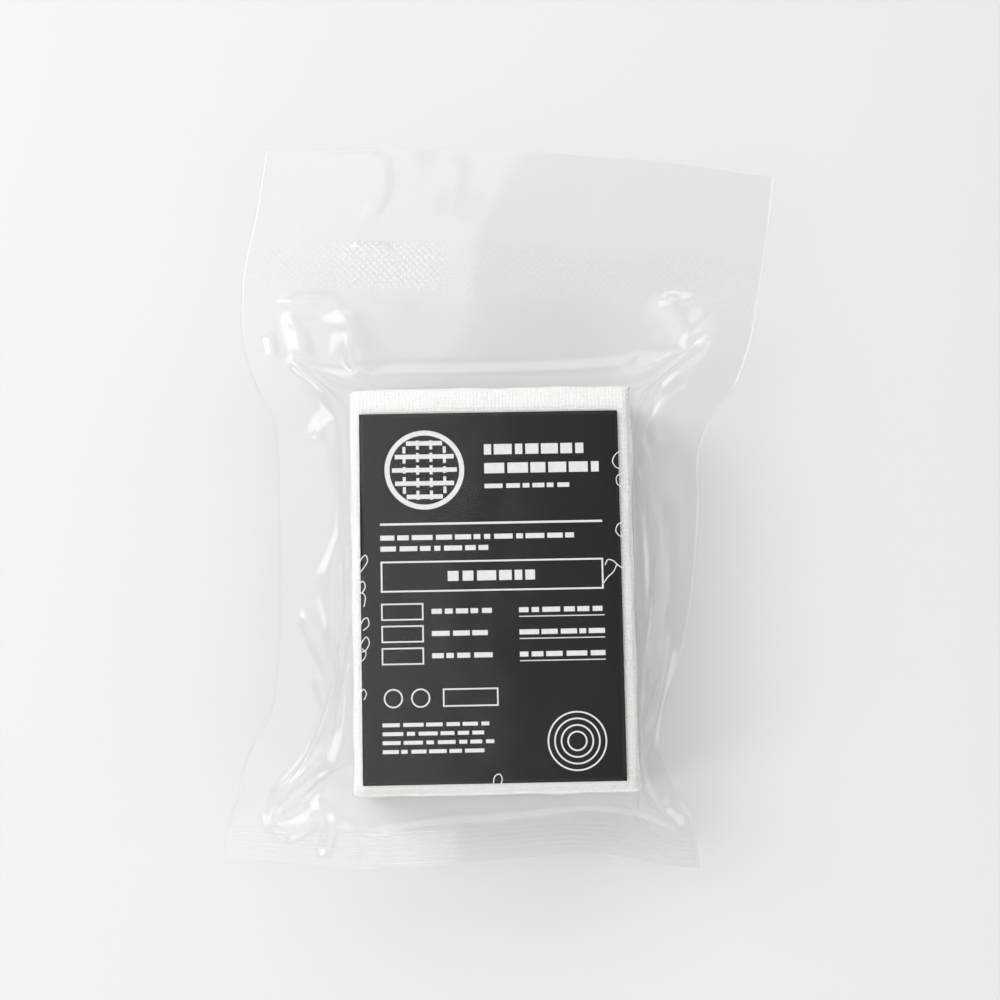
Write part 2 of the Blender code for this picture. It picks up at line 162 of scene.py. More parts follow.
def place_along(share):
    share = np.asarray(share, float)
    above = HALF_LENGTH + (share - 1) * TOP_TAIL
    below = -HALF_LENGTH + (share + 1) * BOTTOM_TAIL
    return np.where(share > 1, above, np.where(share < -1, below, share * HALF_LENGTH))


def place_across(share):
    share = np.asarray(share, float)
    reach = np.minimum(abs(share), 1) * HALF_WIDTH + np.maximum(abs(share) - 1, 0) * SIDE_FREE
    return np.sign(share) * reach


def ridge(x, y, points, height, width):
    """A ridge along a line through points given as (across, along) shares, lower towards its ends."""
    corners = [(float(place_across(a)), float(place_along(s))) for a, s in points]
    lengths = [math.dist(a, b) for a, b in zip(corners, corners[1:])]
    least = np.full(x.shape, 1e9)
    place = np.zeros(x.shape)
    run = 0.0
    for (x0, y0), (x1, y1), length in zip(corners, corners[1:], lengths):
        dx, dy = x1 - x0, y1 - y0
        t = np.clip(((x - x0) * dx + (y - y0) * dy) / length ** 2, 0, 1)
        away = np.hypot(x - x0 - t * dx, y - y0 - t * dy)
        place = np.where(away < least, run + t * length, place)
        least = np.minimum(least, away)
        run += length
    taper = ease(place / (0.25 * run)) * ease((run - place) / (0.25 * run))
    return height * (0.05 + 0.95 * taper) * np.exp(-(least / width) ** 2)


def ridges(x, y, table):
    rise = np.zeros(x.shape)
    for points, height, width in table:
        rise += ridge(x, y, points, height, width)
    return rise


def margin_height(x, y):
    """The surface on which the two webs lie against each other, away from the brick."""
    z = np.full(x.shape, SEAL_HEIGHT)
    for across, along, rise, width, length in MARGIN_WAVES:
        away = (((x - place_across(across)) / (width * SIDE_FREE)) ** 2
                + ((y - place_along(along)) / (length * SIDE_FREE)) ** 2)
        z += rise * SEAL_HEIGHT * np.exp(-away)
    z += 0.35 * np.sin(x / 5.1 + 0.6 * np.sin(y / 9)) * ease((y - HALF_LENGTH) / TOP_TAIL)
    return z + ridges(x, y, FOLDS) + ridges(x, y, SKIRT_STREAKS)


def outline():
    """The pouch's edge: left and right from bottom to top, bottom and top from left to right."""
    share = np.linspace(-2, 2, 400)
    beyond = np.maximum(abs(share) - 1, 0)
    lean = np.where(share > 0, TOP_LEAN, BOTTOM_LEAN)
    sides = []
    for column, sign in ((1, -1), (2, 1)):
        x = sign * (HALF_WIDTH + SIDE_FREE * read_curve(SIDE_EDGES, column, share))
        sides.append(np.stack([x, place_along(share) - beyond * lean * x], 1))
    ends = []
    across = np.linspace(-1, 1, 200)
    for column, row, tail, lean in ((2, 0, -BOTTOM_TAIL, BOTTOM_LEAN), (1, -1, TOP_TAIL, TOP_LEAN)):
        left, right = sides[0][row, 0], sides[1][row, 0]
        x = left + (right - left) * (across + 1) / 2
        y = place_along(share[row]) + read_curve(END_BOWS, column, across) * tail - lean * x
        ends.append(np.stack([x, y], 1))
    return sides[0], sides[1], ends[0], ends[1]


def spread_points(line, count):
    steps = np.linalg.norm(np.diff(line, axis=0), axis=1)
    run = np.concatenate([[0], np.cumsum(steps)])
    at = np.linspace(0, run[-1], count)
    return np.stack([np.interp(at, run, line[:, k]) for k in range(2)], 1)


def flat_start(columns, rows):
    """A grid between the four edges, which is how the web lies before it is drawn down."""
    left, right, bottom, top = outline()
    left, right = spread_points(left, rows), spread_points(right, rows)
    bottom, top = spread_points(bottom, columns), spread_points(top, columns)
    u = np.linspace(0, 1, columns)[None, :, None]
    v = np.linspace(0, 1, rows)[:, None, None]
    grid = (1 - v) * bottom[None] + v * top[None] + (1 - u) * left[:, None] + u * right[:, None]
    grid -= (1 - u) * (1 - v) * bottom[0] + u * (1 - v) * bottom[-1]
    return grid - (1 - u) * v * top[0] - u * v * top[-1]


def refine(grid, columns, rows):
    """Reads a grid at a finer spacing by a smooth curve through its points."""
    for axis, count in ((0, rows), (1, columns)):
        grid = np.moveaxis(grid, axis, 0)
        last = len(grid) - 1
        at = np.linspace(0, last, count)
        i = np.clip(np.floor(at).astype(int), 0, last - 1)
        t = (at - i).reshape((-1,) + (1,) * (grid.ndim - 1))
        p0, p1, p2, p3 = (grid[np.clip(i + k, 0, last)] for k in (-1, 0, 1, 2))
        cubic = 2 * p0 - 5 * p1 + 4 * p2 - p3 + t * (3 * (p1 - p2) + p3 - p0)
        grid = np.moveaxis(p1 + 0.5 * t * (p2 - p0 + t * cubic), 0, axis)
    return grid


def keep_length(points, low, high, rest, stiffness):
    a, b = points[low], points[high]
    d = b - a
    length = np.sqrt((d * d).sum(-1, keepdims=True)) + 1e-9
    step = (stiffness * 0.5) * (1 - rest / length) * d
    points[low] = a + step
    points[high] = b - step


def straighten(points, stiffness):
    for low, middle, high in (
        ((slice(None), slice(0, -2)), (slice(None), slice(1, -1)), (slice(None), slice(2, None))),
        ((slice(0, -2),), (slice(1, -1),), (slice(2, None),)),
    ):
        bend = points[low] - 2 * points[middle] + points[high]
        points[middle] += 0.25 * stiffness * bend
        points[low] -= 0.125 * stiffness * bend
        points[high] -= 0.125 * stiffness * bend


def grid_normals(points):
    normal = np.cross(np.gradient(points, axis=1), np.gradient(points, axis=0))
    return normal / (np.linalg.norm(normal, axis=-1, keepdims=True) + 1e-9)


# Each level of the drape: spacing in mm, rounds, length passes a round, straightening, pressure in mm
DRAPE_LEVELS = [
    (2.5, 150, 8, 0.20, 0.030),
    (1.25, 90, 8, 0.12, 0.015),
    (0.625, 45, 6, 0.06, 0.006),
]


def drape(side):
    """Draws one web down on the brick and on the margin. side is 1 for the front, -1 for the back."""
    points = None
    for spacing, rounds, passes, stiffness, pressure in DRAPE_LEVELS:
        columns = int(round(POUCH_WIDTH / spacing)) + 1
        rows = int(round(POUCH_LENGTH / spacing)) + 1
        start = flat_start(columns, rows)
        if points is None:
            x, y = start[..., 0], start[..., 1]
            beyond = np.hypot(np.maximum(abs(x) - HALF_WIDTH, 0), np.maximum(abs(y) - HALF_LENGTH, 0))
            near = np.maximum(1 - beyond / 9.0, 0) ** 1.5
            margin = margin_height(x, y) + side * LOOSE_GAP
            face = FILM_TOP if side > 0 else FILM / 2
            points = np.stack([x, y, margin + (face - margin) * near], -1)
        else:
            points = refine(points, columns, rows)
        points = np.ascontiguousarray(points, dtype=np.float32)
        across = np.linspace(0, POUCH_WIDTH, columns)[None, :]
        along = np.linspace(0, POUCH_LENGTH, rows)[:, None]
        edge = np.zeros((rows, columns), bool)
        edge[[0, -1]] = True
        edge[:, [0, -1]] = True
        share = 2 - 4 * (1 - along / POUCH_LENGTH)
        free_left = (start[:, :1, 0] + HALF_WIDTH) * -1
        free_right = start[:, -1:, 0] - HALF_WIDTH
        seal_top = POUCH_LENGTH - TOP_SKIRT
        from_left = np.minimum(SIDE_SEAL, 0.6 * free_left) - across
        from_right = np.minimum(SIDE_SEAL, 0.6 * free_right) - (POUCH_WIDTH - across)
        from_bottom = BOTTOM_SEAL - along
        from_top = TOP_SEAL / 2 - abs(along - seal_top + TOP_SEAL / 2)
        into_seal = np.maximum.reduce(np.broadcast_arrays(from_left, from_right, from_bottom, from_top))
        weld = ease(into_seal / WELD_RAMP + 0.5).astype(np.float32)
        crept = ease(into_seal / CREEP_RAMP + 1)
        # Rest lengths follow the drawn-in edges, so that a seal creeps instead of buckling
        step_across = np.linalg.norm(np.diff(start, axis=1), axis=-1)
        step_along = np.linalg.norm(np.diff(start, axis=0), axis=-1)
        flat_u = POUCH_WIDTH / (columns - 1)
        flat_v = POUCH_LENGTH / (rows - 1)
        crept_u = (crept[:, 1:] + crept[:, :-1]) / 2
        crept_v = (crept[1:] + crept[:-1]) / 2
        rest_u = flat_u + crept_u * (np.minimum(flat_u, step_across) - flat_u)
        rest_v = flat_v + crept_v * (np.minimum(flat_v, step_along) - flat_v)
        rest_u = rest_u[..., None].astype(np.float32)
        rest_v = rest_v[..., None].astype(np.float32)
        diagonal = math.hypot(flat_u, flat_v)
        speed = np.zeros_like(points)
        for _ in range(rounds):
            speed *= 0.90
            before = points.copy()
            points += speed
            points -= side * pressure * grid_normals(points).astype(np.float32)
            for _ in range(passes):
                for first in (0, 1):
                    pairs = (rows - first) // 2
                    low = slice(first, first + 2 * pairs - 1, 2)
                    high = slice(first + 1, first + 2 * pairs, 2)
                    keep_length(points, (low,), (high,), rest_v[first::2][:pairs], 1.0)
                    keep_length(points, (low, slice(0, -1)), (high, slice(1, None)), diagonal, 0.4)
                    keep_length(points, (low, slice(1, None)), (high, slice(0, -1)), diagonal, 0.4)
                    pairs = (columns - first) // 2
                    low = slice(first, first + 2 * pairs - 1, 2)
                    high = slice(first + 1, first + 2 * pairs, 2)
                    every = slice(None)
                    keep_length(points, (every, low), (every, high), rest_u[:, first::2][:, :pairs], 1.0)
                straighten(points, stiffness)
            points[edge, 0:2] = start[edge]
            x, y, z = points[..., 0], points[..., 1], points[..., 2]
            margin = margin_height(x, y).astype(np.float32)
            gap = LOOSE_GAP + (FILM / 2 + WELD_GAP - LOOSE_GAP) * weld
            if side > 0:
                np.maximum(z, margin + gap + ridges(x, y, FLANK_FOLDS).astype(np.float32), out=z)
            else:
                np.minimum(z, margin - gap, out=z)
            z += weld * (margin + side * gap - z)
            if side < 0:
                np.maximum(z, FILM / 2, out=z)
            keep_off_brick(x, y, z, side)
            speed = np.clip(points - before, -0.3, 0.3)
    return even_out(points, ease(into_seal / EVEN_RAMP + 1), weld, side)


def even_out(points, share, weld, side):
    """Takes the last small kinks out of the film at and near the welds, and adds the front's creases."""
    for _ in range(24):
        middle = points[1:-1, 1:-1]
        around = (points[:-2, 1:-1] + points[2:, 1:-1] + points[1:-1, :-2] + points[1:-1, 2:]) / 4
        middle += 0.5 * share[1:-1, 1:-1, None] * (around - middle)
    x, y, z = points[..., 0], points[..., 1], points[..., 2]
    margin = margin_height(x, y).astype(np.float32)
    gap = side * (LOOSE_GAP + (FILM / 2 + WELD_GAP - LOOSE_GAP) * weld)
    if side > 0:
        np.maximum(z, margin + gap, out=z)
    else:
        np.minimum(z, margin + gap, out=z)
        np.maximum(z, FILM / 2, out=z)
    z += weld * (margin + gap - z)
    keep_off_brick(x, y, z, side)
    if side > 0:
        points = points + grid_normals(points) * ridges(x, y, FRONT_CREASES)[..., None]
    return points


def keep_off_brick(x, y, z, side):
    """Moves points that have gone into the brick out through its nearest face."""
    depth_x = HALF_WIDTH - abs(x)
    depth_y = HALF_LENGTH - abs(y)
    face = FILM_TOP if side > 0 else FILM / 2 + 0.05
    depth_z = (face - z) * side
    inside = (depth_x > 0) & (depth_y > 0) & (depth_z > 0)
    flat = inside & (depth_z <= np.minimum(depth_x, depth_y))
    z[flat] = face
    wide = inside & ~flat & (depth_x <= depth_y)
    x[wide] = np.sign(x[wide]) * HALF_WIDTH
    long = inside & ~flat & ~wide
    y[long] = np.sign(y[long]) * HALF_LENGTH


# Mesh building

def link(name, mesh):
    piece = bpy.data.objects.new(name, mesh)
    bpy.context.scene.collection.objects.link(piece)
    return piece


def mesh_piece(name, points, faces, smooth=True):
    mesh = bpy.data.meshes.new(name)
    mesh.from_pydata([], [], [])
    count = len(points)
    mesh.vertices.add(count)
    mesh.vertices.foreach_set("co", (np.asarray(points, float) * MM).ravel())
    faces = [np.asarray(group) for group in faces]
    sizes = np.concatenate([np.full(len(group), group.shape[1]) for group in faces])
    corners = np.concatenate([group.ravel() for group in faces])
    mesh.loops.add(len(corners))
    mesh.loops.foreach_set("vertex_index", corners)
    mesh.polygons.add(len(sizes))
    mesh.polygons.foreach_set("loop_start", np.concatenate([[0], np.cumsum(sizes)[:-1]]))
    mesh.polygons.foreach_set("loop_total", sizes)
    mesh.update(calc_edges=True)
    mesh.validate()
    mesh.polygons.foreach_set("use_smooth", np.full(len(sizes), smooth))
    return link(name, mesh)


def grid_faces(rows, columns, offset=0, flip=False):
    i = np.arange((rows - 1) * columns).reshape(rows - 1, columns)[:, :-1].ravel() + offset
    quads = np.stack([i, i + 1, i + columns + 1, i + columns], 1)
    return quads[:, ::-1] if flip else quads


def rim_faces(rows, columns, lower):
    """Joins the edges of two equal grids, the second of which starts at index lower."""
    index = np.arange(rows * columns).reshape(rows, columns)
    loop = np.concatenate([index[0, :-1], index[:-1, -1], index[-1, :0:-1], index[:0:-1, 0]])
    after = np.roll(loop, -1)
    return np.stack([after, loop, loop + lower, after + lower], 1)


def closed_sheet(name, middle, thickness):
    """A thin closed sheet from a grid of points, with its flat place kept as a UV map."""
    rows, columns = middle.shape[:2]
    offset = grid_normals(middle) * thickness / 2
    upper = (middle + offset).reshape(-1, 3)
    lower = (middle - offset).reshape(-1, 3)
    count = rows * columns
    faces = [grid_faces(rows, columns), grid_faces(rows, columns, count, True), rim_faces(rows, columns, count)]
    piece = mesh_piece(name, np.concatenate([upper, lower]), faces)
    u, v = np.meshgrid(np.linspace(0, 1, columns), np.linspace(0, 1, rows))
    flat = np.tile(np.stack([u.ravel(), v.ravel()], 1), (2, 1))
    layer = piece.data.uv_layers.new(name="flat")
    loops = np.empty(len(piece.data.loops), np.int32)
    piece.data.loops.foreach_get("vertex_index", loops)
    layer.data.foreach_set("uv", flat[loops].ravel())
    return piece


# Materials

class Nodes:
    """Short ways to add shader nodes to one material."""

    def __init__(self, name):
        self.material = bpy.data.materials.new(name)
        self.material.use_nodes = True
        self.tree = self.material.node_tree
        self.shader = self.tree.nodes["Principled BSDF"]

    def add(self, kind, settings=None, **inputs):
        node = self.tree.nodes.new(kind)
        for key, value in (settings or {}).items():
            setattr(node, key, value)
        for key, value in inputs.items():
            self.plug(node, key.replace("_", " "), value)
        return node

    def plug(self, node, socket, value):
        target = node.inputs[socket]
        if isinstance(value, bpy.types.NodeSocket):
            self.tree.links.new(value, target)
        else:
            target.default_value = value

    def math(self, operation, *values):
        node = self.tree.nodes.new("ShaderNodeMath")
        node.operation = operation
        for index, value in enumerate(values):
            self.plug(node, index, value)
        return node.outputs[0]

    def band(self, value, low, high, soft):
        """1 between low and high, 0 outside, with soft ends."""
        up = self.add("ShaderNodeMapRange", {"interpolation_type": "SMOOTHSTEP"},
                      Value=value, From_Min=low - soft, From_Max=low + soft)
        down = self.add("ShaderNodeMapRange", {"interpolation_type": "SMOOTHSTEP"},
                        Value=value, From_Min=high - soft, From_Max=high + soft)
        return self.math("SUBTRACT", up.outputs[0], down.outputs[0])

    def noise(self, vector, scale, detail=2.0, roughness=0.5):
        node = self.add("ShaderNodeTexNoise", None, Vector=vector, Scale=scale, Detail=detail,
                        Roughness=roughness)
        return node.outputs[0]

    def object_place(self):
        return self.add("ShaderNodeTexCoord").outputs["Object"]

    def spread(self, value, low, high):
        node = self.add("ShaderNodeMapRange", None, Value=value, To_Min=low, To_Max=high)
        return node.outputs[0]

    def bump(self, height, strength, distance):
        node = self.add("ShaderNodeBump", None, Height=height, Strength=strength, Distance=distance)
        self.plug(self.shader, "Normal", node.outputs[0])


def film_material():
    """Clear film: a thin haze, more at a low angle, and a strong gloss for its share of cover."""
    made = Nodes("pouch_film")
    place = made.object_place()
    cloud = made.noise(place, 55.0, 2.0)
    soft = made.math("MULTIPLY", made.noise(place, 80.0, 1.0), 0.00018)
    made.bump(soft, 1.0, 1.0)
    facing = made.add("ShaderNodeLayerWeight", None, Blend=0.35).outputs["Facing"]
    rim = made.math("MULTIPLY", made.math("POWER", facing, 2.5), 0.20)
    made.plug(made.shader, "Alpha", made.math("ADD", rim, 0.022))
    made.plug(made.shader, "Base Color", (0.17, 0.175, 0.18, 1))
    made.plug(made.shader, "Roughness", made.spread(cloud, 0.10, 0.22))
    made.plug(made.shader, "IOR", 20.0)
    return made.material


def pressed_film_and_highlight_material():
    """The same film where the hot jaw has marked it: whiter, which is partly a painted highlight, and with painted
    highlight in two bands across, strong at the left and faint at the right.
    """
    made = Nodes("pressed_film_and_highlight")
    place = made.object_place()
    grain = made.noise(place, 300.0, 1.0)
    across = made.add("ShaderNodeSeparateXYZ", None, Vector=place).outputs[0]
    # Painted highlight: in two bands across the seal the marks are whiter and more opaque, strong at the left and
    # faint at the right, for the light they catch there.
    painted_highlight_left = made.band(across, -0.031, -0.010, 0.006)
    painted_highlight_right = made.band(across, 0.038, 0.050, 0.005)
    painted_highlight = made.math("MULTIPLY_ADD", painted_highlight_right, 0.30, painted_highlight_left)
    painted_highlight = made.math("MULTIPLY", painted_highlight, made.spread(grain, 0.5, 1.5))
    made.plug(made.shader, "Alpha", made.math("MULTIPLY_ADD", painted_highlight, 0.14, 0.028))
    made.plug(made.shader, "Base Color", (0.96, 0.965, 0.97, 1))
    made.plug(made.shader, "Roughness", made.spread(grain, 0.16, 0.34))
    made.plug(made.shader, "IOR", 2.8)
    return made.material


def gauze_material():
    """Pressed cotton gauze: open plain weave, crepe crinkle and a warm white."""
    made = Nodes("pressed_gauze")
    place = made.object_place()
    shake = made.add("ShaderNodeTexNoise", None, Vector=place, Scale=420.0, Detail=3.0)
    slip = made.add("ShaderNodeVectorMath", {"operation": "SCALE"}, Scale=0.0007)
    made.tree.links.new(shake.outputs["Color"], slip.inputs[0])
    bent = made.add("ShaderNodeVectorMath", {"operation": "ADD"})
    made.tree.links.new(place, bent.inputs[0])
    made.tree.links.new(slip.outputs[0], bent.inputs[1])
    threads = []
    for direction, pitch in (("X", 0.00072), ("Y", 0.00080), ("Z", 0.00026)):
        wave = made.add("ShaderNodeTexWave", {"bands_direction": direction}, Vector=bent.outputs[0],
                        Scale=2 * math.pi / (20 * pitch), Distortion=1.2, Detail=2.0)
        threads.append(wave.outputs["Fac"])
    weave = made.math("MAXIMUM", threads[0], threads[1])
    sides = made.add("ShaderNodeSeparateXYZ", None,
                     Vector=made.add("ShaderNodeNewGeometry").outputs["Normal"])
    upright = made.math("POWER", made.math("ABSOLUTE", sides.outputs[2]), 2.0)
    mix = made.add("ShaderNodeMix", {"data_type": "FLOAT"})
    made.tree.links.new(upright, mix.inputs[0])
    made.tree.links.new(threads[2], mix.inputs[2])
    made.tree.links.new(weave, mix.inputs[3])
    crepe = made.noise(place, 900.0, 5.0, 0.6)
    height = made.math("ADD", made.math("MULTIPLY", mix.outputs[0], 0.6), made.math("MULTIPLY", crepe, 1.4))
    made.bump(height, 0.8, 0.00025)
    # Painted shade: the gauze is darker in the low parts of the weave and the crinkle, and between the fine
    # threads on its sides.
    tone = made.add("ShaderNodeMix", {"data_type": "RGBA"})
    made.tree.links.new(made.spread(height, 0.0, 1.0), tone.inputs[0])
    tone.inputs[6].default_value = (0.75, 0.735, 0.70, 1)
    tone.inputs[7].default_value = (0.88, 0.87, 0.84, 1)
    made.plug(made.shader, "Base Color", tone.outputs[2])
    made.plug(made.shader, "Roughness", 0.95)
    made.plug(made.shader, "Sheen Weight", 0.25)
    return made.material


def card_material():
    made = Nodes("black_card")
    place = made.object_place()
    grain = made.noise(place, 2600.0, 3.0)
    cloud = made.noise(place, 70.0, 3.0)
    tone = made.add("ShaderNodeMix", {"data_type": "RGBA"})
    made.tree.links.new(cloud, tone.inputs[0])
    tone.inputs[6].default_value = (0.0060, 0.0060, 0.0066, 1)
    tone.inputs[7].default_value = (0.0095, 0.0095, 0.0102, 1)
    made.plug(made.shader, "Base Color", tone.outputs[2])
    made.plug(made.shader, "Roughness", made.spread(grain, 0.34, 0.46))
    made.bump(grain, 0.12, 0.00005)
    made.plug(made.shader, "IOR", 1.28)
    return made.material


def ink_material():
    made = Nodes("white_ink")
    place = made.object_place()
    speck = made.noise(place, 1800.0, 4.0)
    tone = made.add("ShaderNodeMix", {"data_type": "RGBA"})
    made.tree.links.new(speck, tone.inputs[0])
    tone.inputs[6].default_value = (0.62, 0.62, 0.62, 1)
    tone.inputs[7].default_value = (0.84, 0.84, 0.83, 1)
    made.plug(made.shader, "Base Color", tone.outputs[2])
    made.plug(made.shader, "Roughness", made.spread(speck, 0.35, 0.5))
    return made.material


def floor_material():
    made = Nodes("pale_floor")
    place = made.object_place()
    tone = made.add("ShaderNodeMix", {"data_type": "RGBA"})
    made.tree.links.new(made.noise(place, 3.0, 3.0), tone.inputs[0])
    tone.inputs[6].default_value = (0.69, 0.695, 0.70, 1)
    tone.inputs[7].default_value = (0.71, 0.715, 0.72, 1)
    made.plug(made.shader, "Base Color", tone.outputs[2])
    made.plug(made.shader, "Roughness", 0.6)
    return made.material


# Marks of the heated jaws, raised on the front web

KNURL_PITCH = 1.45
KNURL_RADIUS = 0.46
KNURL_HEIGHT = 0.13
RIB_PITCH = 0.95
RIB_HALF = 0.22
RIB_HEIGHT = 0.07


def on_web(web, u, v, rise=0.0):
    """Points at flat places (u, v) in mm on a draped web, raised off its face, and two directions in it."""
    rows, columns = web.shape[:2]
    at_u = np.clip(u / POUCH_WIDTH, 0, 1) * (columns - 1)
    at_v = np.clip(v / POUCH_LENGTH, 0, 1) * (rows - 1)
    i = np.clip(at_v.astype(int), 0, rows - 2)
    j = np.clip(at_u.astype(int), 0, columns - 2)
    s, t = (at_u - j)[..., None], (at_v - i)[..., None]

    def read(grid):
        low = grid[i, j] * (1 - s) + grid[i, j + 1] * s
        high = grid[i + 1, j] * (1 - s) + grid[i + 1, j + 1] * s
        return low * (1 - t) + high * t

    normal = read(grid_normals(web))
    normal /= np.linalg.norm(normal, axis=-1, keepdims=True)
    across = read(np.gradient(web, axis=1))
    across -= (across * normal).sum(-1, keepdims=True) * normal
    across /= np.linalg.norm(across, axis=-1, keepdims=True)
    return read(web) + normal * rise, normal, across, np.cross(normal, across)


def make_knurl(web, material):
    """Low rounded points in a diamond pattern, all along the top seal."""
    seal_top = POUCH_LENGTH - TOP_SKIRT
    places = []
    for shift in (0.0, 0.5):
        u, v = np.meshgrid(np.arange(1.6 + shift * KNURL_PITCH, POUCH_WIDTH - 1.2, KNURL_PITCH),
                           np.arange(seal_top - TOP_SEAL + 0.6 + shift * KNURL_PITCH, seal_top - 0.4, KNURL_PITCH))
        places.append(np.stack([u.ravel(), v.ravel()], 1))
    u, v = np.concatenate(places).T
    centre, normal, across, along = on_web(web, u, v, FILM / 2)
    worn = np.clip(0.75 + 0.45 * slow_waves(u, v, 21, 24.0), 0.25, 1.35)
    sides = 8
    rings = ((1.0, -0.03), (0.72, 0.55), (0.36, 0.92))
    points = []
    for reach, rise in rings:
        for k in range(sides):
            angle = math.tau * k / sides
            spoke = across * math.cos(angle) + along * math.sin(angle)
            lift = (rise * KNURL_HEIGHT * worn)[:, None]
            points.append(centre + spoke * KNURL_RADIUS * reach + normal * lift)
    points.append(centre + normal * (KNURL_HEIGHT * worn)[:, None])
    points = np.stack(points, 1)
    each = points.shape[1]
    start = (np.arange(len(points)) * each)[:, None]
    quads, fans = [], []
    for ring in range(len(rings) - 1):
        for k in range(sides):
            a, b = ring * sides + k, ring * sides + (k + 1) % sides
            quads.append(start + np.array([[a, b, b + sides, a + sides]]))
    top = (len(rings) - 1) * sides
    for k in range(sides):
        fans.append(start + np.array([[top + k, top + (k + 1) % sides, each - 1]]))
    floor = start + np.arange(sides)[::-1][None]
    groups = [np.concatenate(quads), np.concatenate(fans), floor]
    piece = mesh_piece("seal_knurl", points.reshape(-1, 3), groups)
    piece.data.materials.append(material)
    return piece


def make_ribs(web, material):
    """Low rounded ribs along the bottom seal."""
    steps = 100
    section = ((-1.0, -0.3), (-0.6, 0.65), (0.0, 1.0), (0.6, 0.65), (1.0, -0.3))
    points, quads, ends = [], [], []
    size = len(section)
    for number, v in enumerate(np.arange(1.0, BOTTOM_SEAL - 0.2, RIB_PITCH)):
        u = np.linspace(1.2, POUCH_WIDTH - 1.2, steps)
        centre, normal, across, along = on_web(web, u, np.full(steps, v), FILM / 2)
        worn = np.clip(0.7 + 0.5 * slow_waves(u, np.full(steps, v * 2), 22, 20.0), 0.15, 1.3)[:, None]
        start = number * steps * size
        for reach, rise in section:
            points.append(centre + along * RIB_HALF * reach + normal * RIB_HEIGHT * rise * worn)
        base = start + np.arange(steps - 1)[:, None]
        for k in range(size):
            a, b = k * steps, (k + 1) % size * steps
            quads.append(base + np.array([[a, a + 1, b + 1, b]]))
        ring = np.arange(size) * steps
        ends += [start + ring, start + steps - 1 + ring[::-1]]
    piece = mesh_piece("seal_ribs", np.concatenate(points), [np.concatenate(quads), np.array(ends)])
    piece.data.materials.append(material)
    return piece


# Gauze strip, folded to and fro

PANELS = 24
PANEL_STEPS = 26
TURN_STEPS = 4
GAUZE_COLUMNS = 41
LAYER = BRICK_SIZE[2] / PANELS
PLY_GAP = 0.14
PLY_HALF = (LAYER - PLY_GAP) / 2
EDGE_ROUND = 1.1


def slow_waves(x, y, seed, length, count=5):
    """Soft random waves about one high, the same each run."""
    draw = np.random.default_rng(seed)
    total = np.zeros(np.broadcast(x, y).shape)
    for _ in range(count):
        angle, phase, stretch = draw.uniform(0, math.tau), draw.uniform(0, math.tau), draw.uniform(0.7, 1.5)
        total += np.sin((x * math.cos(angle) + y * math.sin(angle)) * math.tau / (length * stretch) + phase)
    return total / math.sqrt(count)


def make_gauze(material):
    draw = np.random.default_rng(11)
    across = np.linspace(-1, 1, GAUZE_COLUMNS)
    rows, lean = [], []
    for panel in range(PANELS):
        heading = 1 if panel % 2 == 0 else -1
        height = BRICK_LOW[2] + LAYER * (panel + 0.5)
        depth = min(height - BRICK_LOW[2], BRICK_HIGH[2] - height)
        pull = EDGE_ROUND - math.sqrt(EDGE_ROUND ** 2 - max(EDGE_ROUND - depth, 0) ** 2)
        reach = BRICK_SIZE[1] / 2 - pull - draw.uniform(0.0, 0.55) - LAYER / 2
        side = BRICK_SIZE[0] / 2 - 0.8 * pull - draw.uniform(0.0, 0.35)
        slide = draw.uniform(-0.12, 0.12)
        for step in range(PANEL_STEPS + 1):
            y = heading * reach * (2 * step / PANEL_STEPS - 1)
            rows.append((y, height, side, slide))
            lean.append((0.0, float(heading)))
        if panel < PANELS - 1:
            for turn in range(1, TURN_STEPS):
                angle = math.pi * turn / TURN_STEPS
                y = heading * (reach + LAYER / 2 * math.sin(angle))
                z = height + LAYER / 2 - LAYER / 2 * math.cos(angle)
                rows.append((y, z, side, slide))
                lean.append((-math.sin(angle), heading * math.cos(angle)))
    rows, lean = np.array(rows), np.array(lean)
    y = rows[:, 0][:, None]
    fray = slow_waves(np.arange(len(rows))[:, None] * 0.37, across[None] * 40, 5, 3.0) * 0.18
    x = across[None] * (rows[:, 2][:, None] - 0.2) + rows[:, 3][:, None]
    x = x + fray * np.abs(across[None]) ** 6
    y = y + slow_waves(x, rows[:, 1][:, None] * 9, 6, 9.0) * 0.10
    sag = slow_waves(x, y, 7, 26.0) * 0.10
    border = np.maximum(abs(x) - (BRICK_SIZE[0] / 2 - 2.5), 0) / 2.5
    ends = np.maximum(abs(y) - (BRICK_SIZE[1] / 2 - 2.5), 0) / 2.5
    middle_height = (BRICK_LOW[2] + BRICK_HIGH[2]) / 2
    share = (rows[:, 1][:, None] - middle_height) / (BRICK_SIZE[2] / 2)
    z = rows[:, 1][:, None] + sag - share * 0.22 * np.maximum(border, ends) ** 2 - 0.12 * share
    centre = np.stack([x, y, z], -1)
    offset = np.stack([np.zeros(len(rows)), lean[:, 0], lean[:, 1]], -1)[:, None]
    half = PLY_HALF * (1 - 0.35 * np.abs(across) ** 10)[None, :, None]
    grid_rows = len(rows)
    upper = (centre + offset * half).reshape(-1, 3)
    lower = (centre - offset * half).reshape(-1, 3)
    count = len(upper)
    faces = [grid_faces(grid_rows, GAUZE_COLUMNS), grid_faces(grid_rows, GAUZE_COLUMNS, count, True),
             rim_faces(grid_rows, GAUZE_COLUMNS, count)]
    piece = mesh_piece("folded_gauze", np.concatenate([upper, lower]), faces)
    piece.data.materials.append(material)
    return piece


# Label card with generic print

INK_RISE = 0.022
INK_ROOT = 0.010


def card_height(x, y):
    """Height of the card's top face: it follows the soft brick a little."""
    return CARD_HIGH[2] - 0.10 + 0.06 * slow_waves(x, y, 7, 26.0)


